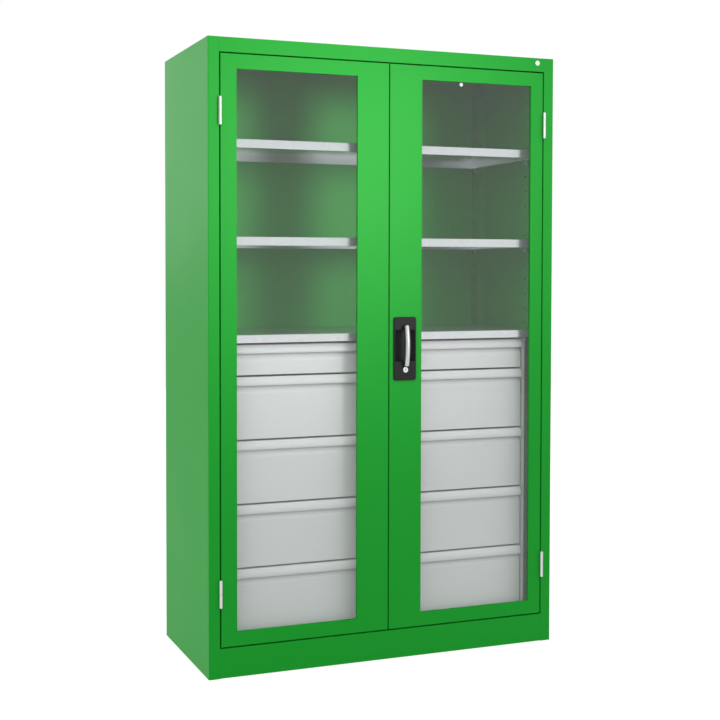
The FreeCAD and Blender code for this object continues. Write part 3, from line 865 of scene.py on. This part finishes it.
class CABINET_OT_handle(Operator):
    """Mould the handle plate and bend the lever"""
    bl_idname = "cabinet.handle"
    bl_label = "Handle"

    def execute(self, context):
        sizes = context.scene.cabinet_sizes
        stands_for(self.plate(sizes), "handle_plate")
        stands_for(self.lever(sizes), "lever_bow")
        return {"FINISHED"}

    def plate(self, sizes):
        low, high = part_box("handle_plate")
        face_y = low.y
        back_y = low.y + sizes.plate_depth
        hole_low, hole_high = trough_opening(sizes)
        wall = sizes.trough_wall
        piece = block("door_handle_plate", low, Vector((high.x, back_y, high.z)))
        mid_x = (low.x + high.x) / 2
        half = (hole_high.x - hole_low.x) / 2
        deep = high.y - wall - face_y
        radius = (half ** 2 + deep ** 2) / (2 * deep)
        axis_y = face_y + deep - radius
        trough = (hole_low.z + wall, hole_high.z - wall)
        outer = math.sqrt((radius + wall) ** 2 - (back_y - axis_y) ** 2)
        with editing(piece):
            pick(
                piece, "EDGE",
                lambda edge: near(edge.verts[0].co.x, edge.verts[1].co.x)
                and near(edge.verts[0].co.z, edge.verts[1].co.z),
            )
            bpy.ops.mesh.bevel(offset=sizes.plate_corner, segments=PLATE_CORNER_STEPS, affect="EDGES")
            self.press(
                piece, face_y, mid_x, half, trough,
                lambda x: axis_y + math.sqrt(radius ** 2 - x ** 2),
            )
            self.press(
                piece, back_y, mid_x, outer, (hole_low.z, hole_high.z),
                lambda x: axis_y + math.sqrt((radius + wall) ** 2 - x ** 2),
            )
            close_up()
        spindle_low, spindle_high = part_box("lever_spindle")
        lock_low, lock_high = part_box("lock_barrel")
        pivot = Vector((mid_x, 0.0, spindle_low.z + (spindle_high.x - spindle_low.x) / 2))
        lock = (lock_low + lock_high) / 2
        for spot, width in ((pivot, spindle_high.x - spindle_low.x), (lock, lock_high.x - lock_low.x)):
            start = Vector((spot.x, face_y - sizes.plate_depth, spot.z))
            end = Vector((spot.x, back_y + sizes.trough_wall, spot.z))
            combined(piece, bar("drill", width / 2, start, end, BORE_SIDES), "DIFFERENCE")
        return softened(piece, sizes.fold)

    def press(self, piece, plane_y, mid_x, half, rows, depth_at):
        """Presses a rectangle of the face at plane_y to a round trough."""
        for z in rows:
            pick(piece, "FACE", lambda face: lies_at(face, plane_y))
            cut(z * Z_AXIS, Z_AXIS)
        for x in (mid_x - half, mid_x + half):
            pick(piece, "FACE", lambda face: lies_at(face, plane_y) and rows[0] < middle(face).z < rows[1])
            cut(x * X_AXIS, X_AXIS)
        low, high = Vector((mid_x - half, 0, rows[0])), Vector((mid_x + half, 0, rows[1]))
        pick(piece, "FACE", lambda face: near(middle(face).y, plane_y) and between(middle(face), low, high))
        bottom = depth_at(0.0)
        extrude((0.0, bottom - plane_y, 0.0))
        columns = [mid_x - half + 2 * half * step / TROUGH_STEPS for step in range(TROUGH_STEPS + 1)]
        for x in columns[1:-1]:
            pick(piece, "FACE", lambda face: lies_at(face, bottom))
            cut(x * X_AXIS, X_AXIS)
        for x in columns:
            pick(piece, "VERT", lambda vertex: near(vertex.co.x, x) and near(vertex.co.y, bottom))
            bpy.ops.transform.translate(value=(0.0, depth_at(x - mid_x) - bottom, 0.0))

    def lever(self, sizes):
        low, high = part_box("lever_bow")
        radius = sizes.lever_diameter / 2
        mid = (low + high) / 2
        half = sizes.lever_span / 2
        bend = (half ** 2 + sizes.lever_rise ** 2) / (2 * sizes.lever_rise)
        centre = Vector((mid.x, low.y + radius + bend, mid.z))
        reach = math.asin(half / bend)
        start = centre + bend * Vector((0.0, -math.cos(reach), -math.sin(reach)))
        deselect()
        bpy.ops.mesh.primitive_circle_add(
            vertices=LEVER_SIDES, radius=radius, fill_type="NGON",
            location=start, rotation=(reach, 0.0, 0.0),
        )
        piece = settled("bow_lever")
        with editing(piece):
            bpy.ops.mesh.select_all(action="SELECT")
            bow(centre, -2 * reach, LEVER_STEPS)
            close_up()
            pick(piece, "FACE", lambda face: len(face.verts) == LEVER_SIDES)
            bpy.ops.mesh.bevel(offset=sizes.lever_tip, segments=LEVER_TIP_STEPS, affect="EDGES")
        offset = half - sizes.post_inset
        post_y = centre.y - math.sqrt(bend ** 2 - offset ** 2)
        for z in (mid.z - offset, mid.z + offset):
            foot, end = Vector((mid.x, post_y, z)), Vector((mid.x, high.y, z))
            combined(piece, bar("post", sizes.post_radius, foot, end, LEVER_SIDES), "UNION")
        return shaded(piece)


class CABINET_OT_lock(Operator):
    """Turn the lock's face and its core with a keyhole"""
    bl_idname = "cabinet.lock"
    bl_label = "Lock"

    def execute(self, context):
        sizes = context.scene.cabinet_sizes
        stands_for(self.face(sizes), "lock_barrel")
        stands_for(self.core(sizes), "lock_core")
        return {"FINISHED"}

    def face(self, sizes):
        low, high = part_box("lock_barrel")
        piece = turned("lock_face", "lock_barrel", (high.x - low.x) / 2, LOCK_SIDES)
        bore_radius = sizes.core_radius + sizes.lock_play
        bore = turned("bore", "lock_barrel", bore_radius, LOCK_SIDES, sizes.bore_overrun)
        combined(piece, bore, "DIFFERENCE")
        return softened(piece, sizes.lock_edge)

    def core(self, sizes):
        low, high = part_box("lock_core")
        mid = (low + high) / 2
        piece = turned("lock_plug", "lock_core", sizes.core_radius, LOCK_SIDES)
        front = Vector((mid.x, low.y, mid.z))
        half = Vector((sizes.key_width / 2, 0.0, sizes.key_height / 2))
        key = (front - half, front + half)
        with editing(piece):
            for axis in (X_AXIS, Z_AXIS):
                for spot in key:
                    pick(piece, "FACE", lambda face: near(middle(face).y, low.y))
                    cut(spot, axis)
            pick(piece, "FACE", lambda face: near(middle(face).y, low.y) and between(middle(face), *key))
            extrude((0.0, sizes.key_depth, 0.0))
        return softened(piece, sizes.core_edge)


class CABINET_OT_badge(Operator):
    """Press the plain disc on the top rail"""
    bl_idname = "cabinet.badge"
    bl_label = "Badge"

    def execute(self, context):
        sizes = context.scene.cabinet_sizes
        low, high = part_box("blank_badge")
        piece = turned("plain_badge", "blank_badge", (high.x - low.x) / 2, BADGE_SIDES)
        with editing(piece):
            pick(piece, "FACE", lambda face: near(middle(face).y, low.y))
            bpy.ops.mesh.inset(thickness=sizes.badge_rim)
            extrude((0.0, sizes.badge_recess, 0.0))
        stands_for(softened(piece, sizes.badge_edge), "blank_badge")
        return {"FINISHED"}


# Stage

def shown_rays(tree):
    """1 for the rays that show the background itself: seen, mirrored or through a pane."""
    path = tree.nodes.new("ShaderNodeLightPath")
    last = path.outputs["Is Camera Ray"]
    for name in ("Is Glossy Ray", "Is Transmission Ray"):
        either = tree.nodes.new("ShaderNodeMath")
        either.operation = "MAXIMUM"
        link(tree, last, either.inputs[0])
        link(tree, path.outputs[name], either.inputs[1])
        last = either.outputs[0]
    return last


class CABINET_OT_stage(Operator):
    """Set the floor, the light and the camera"""
    bl_idname = "cabinet.stage"
    bl_label = "Stage"

    def execute(self, context):
        stage = context.scene.cabinet_stage
        self.floor(stage, context.scene.cabinet_colours)
        self.walls(context.scene, stage)
        key = self.lamp("Key", "SPOT", stage.key_place, stage.key_aim, stage.key_power)
        key.data.spot_size = stage.key_cone
        key.data.spot_blend = 1.0
        key.data.shadow_soft_size = stage.key_size
        fill = self.lamp("Fill", "AREA", stage.fill_place, stage.key_aim, stage.fill_power)
        fill.data.size = stage.fill_size
        self.spare(key, ("left_door_pane", "right_door_pane", "upper_shelf", "middle_shelf", "cover_shelf"))
        rim = self.lamp("Rim", "AREA", stage.rim_place, stage.rim_aim, stage.rim_power)
        rim.data.size = stage.rim_size
        fill.visible_glossy = False
        for lamp in (key, fill, rim):
            lamp.visible_camera = False
            lamp.visible_transmission = False
        deselect()
        bpy.ops.object.camera_add(
            location=stage.eye, rotation=(math.pi / 2 + stage.pitch, 0.0, -stage.yaw)
        )
        camera = context.object
        camera.name = "Camera"
        camera.data.lens = stage.lens
        camera.data.sensor_width = stage.sensor
        camera.data.shift_x = stage.shift_x
        camera.data.shift_y = stage.shift_y
        context.scene.camera = camera
        context.scene.view_settings.view_transform = "Standard"
        return {"FINISHED"}

    def floor(self, stage, colours):
        """A floor that shows as white and returns less light than white would."""
        deselect()
        bpy.ops.mesh.primitive_circle_add(
            vertices=FLOOR_SIDES, radius=stage.floor_radius, fill_type="NGON", location=(0.0, 0.0, 0.0)
        )
        floor = settled("floor")
        material, tree, shader = new_material("pale_floor")
        shader.inputs["Base Color"].default_value = (*colours.floor, 1.0)
        shader.inputs["Roughness"].default_value = FLOOR_ROUGHNESS
        shader.inputs["Specular IOR Level"].default_value = 0.0
        glow = tree.nodes.new("ShaderNodeEmission")
        glow.inputs["Strength"].default_value = stage.floor_glow
        shade = tree.nodes.new("ShaderNodeBsdfDiffuse")
        shade.inputs["Color"].default_value = (*colours.floor_shade, 1.0)
        pale = tree.nodes.new("ShaderNodeAddShader")
        link(tree, glow.outputs[0], pale.inputs[0])
        link(tree, shade.outputs[0], pale.inputs[1])
        both = tree.nodes.new("ShaderNodeMixShader")
        link(tree, shown_rays(tree), both.inputs[0])
        link(tree, shader.outputs[0], both.inputs[1])
        link(tree, pale.outputs[0], both.inputs[2])
        link(tree, both.outputs[0], tree.nodes["Material Output"].inputs["Surface"])
        floor.data.materials.append(material)

    def walls(self, scene, stage):
        world = bpy.data.worlds.new("Studio")
        world.use_nodes = True
        scene.world = world
        tree = world.node_tree
        plain = tree.nodes["Background"]
        plain.inputs["Strength"].default_value = stage.ambient
        plain.inputs["Color"].default_value = (1.0, 1.0, 1.0, 1.0)
        white = tree.nodes.new("ShaderNodeBackground")
        white.inputs["Color"].default_value = (1.0, 1.0, 1.0, 1.0)
        both = tree.nodes.new("ShaderNodeMixShader")
        link(tree, shown_rays(tree), both.inputs[0])
        link(tree, plain.outputs[0], both.inputs[1])
        link(tree, white.outputs[0], both.inputs[2])
        link(tree, both.outputs[0], tree.nodes["World Output"].inputs["Surface"])

    def spare(self, lamp, names):
        """Keeps the lamp's mirror image off the named pieces."""
        spared = bpy.data.collections.new(lamp.name + "_spared")
        for name in names:
            spared.objects.link(bpy.data.objects[name])
        for entry in spared.collection_objects:
            entry.light_linking.link_state = "EXCLUDE"
        lamp.light_linking.receiver_collection = spared

    def lamp(self, name, kind, spot, aim, power):
        deselect()
        look = Vector(aim) - Vector(spot)
        turn = look.to_track_quat("-Z", "Y").to_euler()
        bpy.ops.object.light_add(type=kind, location=spot, rotation=turn)
        lamp = bpy.context.object
        lamp.name = name
        lamp.data.energy = power
        return lamp


STEPS = (
    CABINET_OT_finishes, CABINET_OT_carcass, CABINET_OT_doors, CABINET_OT_drawers, CABINET_OT_shelves,
    CABINET_OT_hinges, CABINET_OT_handle, CABINET_OT_lock, CABINET_OT_badge, CABINET_OT_stage,
)


class CABINET_PT_panel(Panel):
    """Lists the cabinet's steps"""
    bl_label = "Cabinet"
    bl_idname = "CABINET_PT_panel"
    bl_space_type = "VIEW_3D"
    bl_region_type = "UI"
    bl_category = "Cabinet"

    def draw(self, context):
        for step in STEPS:
            self.layout.operator(step.bl_idname)


CLASSES = (CabinetSizes, CabinetColours, CabinetStage, *STEPS, CABINET_PT_panel)


def register():
    for item in CLASSES:
        bpy.utils.register_class(item)
    bpy.types.Scene.cabinet_sizes = PointerProperty(type=CabinetSizes)
    bpy.types.Scene.cabinet_colours = PointerProperty(type=CabinetColours)
    bpy.types.Scene.cabinet_stage = PointerProperty(type=CabinetStage)


def unregister():
    del bpy.types.Scene.cabinet_stage
    del bpy.types.Scene.cabinet_colours
    del bpy.types.Scene.cabinet_sizes
    for item in reversed(CLASSES):
        bpy.utils.unregister_class(item)


def main():
    register()
    bpy.ops.cabinet.finishes()
    bpy.ops.cabinet.carcass()
    bpy.ops.cabinet.doors()
    bpy.ops.cabinet.drawers()
    bpy.ops.cabinet.shelves()
    bpy.ops.cabinet.hinges()
    bpy.ops.cabinet.handle()
    bpy.ops.cabinet.lock()
    bpy.ops.cabinet.badge()
    bpy.ops.cabinet.stage()


if __name__ == "__main__":
    main()
